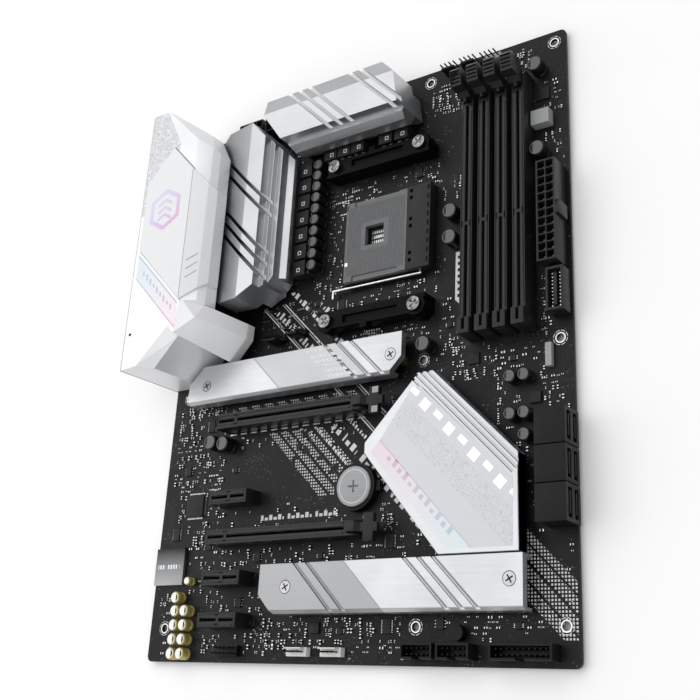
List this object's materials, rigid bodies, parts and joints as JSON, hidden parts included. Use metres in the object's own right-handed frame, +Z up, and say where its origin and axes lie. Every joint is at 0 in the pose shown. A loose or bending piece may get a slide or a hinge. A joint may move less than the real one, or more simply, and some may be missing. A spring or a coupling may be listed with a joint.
{
  "type": "computer motherboard",
  "caption": "Full-size desktop motherboard with shrouded rear ports, silver diagonal-grooved heatsinks, lever-locked processor socket, latched memory slots and expansion slots.",
  "frame": {"origin": "centre of the datum fixing hole near the rear ports, at the underside of the board", "axes": "+X from the rear port edge to the front edge, +Y towards the top edge, +Z up from the component side"},
  "size_m": [0.2482, 0.3047, 0.0488],
  "materials": {
    "solder_mask": "matt black solder mask",
    "black_steel": "black painted sheet",
    "white_plastic": "satin white moulding",
    "white_gloss": "pearly inlay",
    "plated_steel": "plated sheet",
    "black_plastic": "moulded black",
    "socket_plastic": "dark grey moulding",
    "silver_metal": "bright steel",
    "heatsink_silver": "fine blasted, silver anodised",
    "thermal_pad": "soft grey pad",
    "package_black": "moulded package",
    "package_green": "laminate package",
    "can_black": "black sleeved can",
    "can_gold": "gold sleeved can with a silver top",
    "dark_screw": "black nickel",
    "brass_post": "turned brass",
    "inductor_grey": "grey moulded core"
  },
  "bodies": {
    "board": {"pcb": "solder_mask", "io_shield": "black_steel", "io_cover": "white_plastic", "io_cover_panel": "white_gloss", "usb_ports": "plated_steel", "display_ports": "plated_steel", "lan_port": "plated_steel", "audio_jacks": "black_plastic", "button_housing": "black_plastic", "vrm_heatsink_left": "heatsink_silver", "vrm_heatsink_top": "heatsink_silver", "vrm_pads": "thermal_pad", "mosfets": "package_black", "chokes": "package_black", "vrm_capacitors": "can_black", "board_capacitors": "can_black", "audio_capacitors": "can_gold", "eps_connectors": "black_plastic", "socket_base": "black_plastic", "cooler_brackets": "black_plastic", "bracket_screws": "silver_metal", "cooler_backplate": "black_steel", "dimm_slot_1": "black_plastic", "dimm_slot_2": "black_plastic", "dimm_slot_3": "black_plastic", "dimm_slot_4": "black_plastic", "pcie_slot_1": "black_plastic", "pcie_slot_2": "black_plastic", "pcie_x1_slots": "black_plastic", "pcie_armour": "plated_steel", "m2_sockets": "black_plastic", "m2_standoffs": "brass_post", "chipset_die": "package_green", "chipset_heatsink": "heatsink_silver", "heatsink_screws": "dark_screw", "power_connector": "black_plastic", "usb3_header": "black_plastic", "sata_ports": "black_plastic", "fan_headers": "black_plastic", "pin_headers": "black_plastic", "battery_holder": "black_plastic", "audio_shield": "black_steel", "controllers": "package_black", "inductors": "inductor_grey"},
    "memory_latch_1": {"dimm_latch_1": "black_plastic"},
    "memory_latch_2": {"dimm_latch_2": "black_plastic"},
    "memory_latch_3": {"dimm_latch_3": "black_plastic"},
    "memory_latch_4": {"dimm_latch_4": "black_plastic"},
    "card_latch_1": {"pcie_latch_1": "black_plastic"},
    "card_latch_2": {"pcie_latch_2": "black_plastic"},
    "lever": {"socket_lever": "silver_metal"},
    "sliding_cover": {"socket_cover": "socket_plastic"},
    "button": {"flashback_button": "silver_metal"},
    "cell": {"coin_cell": "silver_metal"},
    "drive_cover_1": {"m2_heatsink_1": "heatsink_silver", "m2_screws_1": "dark_screw", "m2_pad_1": "thermal_pad"},
    "drive_cover_2": {"m2_heatsink_2": "heatsink_silver", "m2_screws_2": "dark_screw", "m2_pad_2": "thermal_pad"}
  },
  "joints": [
    {"name": "memory_latch_1_hinge", "type": "hinge", "parent": "board", "child": "memory_latch_1", "pos_m": [0.16178, -0.02265, 0.0061], "axis": [-1, 0, 0], "range_deg": [0, 25]},
    {"name": "memory_latch_2_hinge", "type": "hinge", "parent": "board", "child": "memory_latch_2", "pos_m": [0.17113, -0.02265, 0.0061], "axis": [-1, 0, 0], "range_deg": [0, 25]},
    {"name": "memory_latch_3_hinge", "type": "hinge", "parent": "board", "child": "memory_latch_3", "pos_m": [0.18048, -0.02265, 0.0061], "axis": [-1, 0, 0], "range_deg": [0, 25]},
    {"name": "memory_latch_4_hinge", "type": "hinge", "parent": "board", "child": "memory_latch_4", "pos_m": [0.18983, -0.02265, 0.0061], "axis": [-1, 0, 0], "range_deg": [0, 25]},
    {"name": "card_latch_1_hinge", "type": "hinge", "parent": "board", "child": "card_latch_1", "pos_m": [0.10298, -0.17735, 0.0046], "axis": [0, 1, 0], "range_deg": [0, 20]},
    {"name": "card_latch_2_hinge", "type": "hinge", "parent": "board", "child": "card_latch_2", "pos_m": [0.10298, -0.23825, 0.0046], "axis": [0, 1, 0], "range_deg": [0, 20]},
    {"name": "lever_hinge", "type": "hinge", "parent": "board", "child": "lever", "pos_m": [0.13098, -0.09365, 0.0048], "axis": [0, 1, 0], "range_deg": [0, 95]},
    {"name": "sliding_cover_slide", "type": "slide", "parent": "board", "child": "sliding_cover", "axis": [-1, 0, 0], "range_m": [0, 0.001]},
    {"name": "button_press", "type": "slide", "parent": "board", "child": "button", "axis": [1, 0, 0], "range_m": [0, 0.001], "stiffness_N_per_m": 400},
    {"name": "cell_lift", "type": "slide", "parent": "board", "child": "cell", "axis": [0, 0, 1], "range_m": [0, 0.015]},
    {"name": "drive_cover_1_lift", "type": "slide", "parent": "board", "child": "drive_cover_1", "axis": [0, 0, 1], "range_m": [0, 0.03]},
    {"name": "drive_cover_2_lift", "type": "slide", "parent": "board", "child": "drive_cover_2", "axis": [0, 0, 1], "range_m": [0, 0.03]}
  ],
  "couplings": [
    {"joint": "sliding_cover_slide", "follows": "lever_hinge", "m_per_rad": 0.0006031}
  ]
}
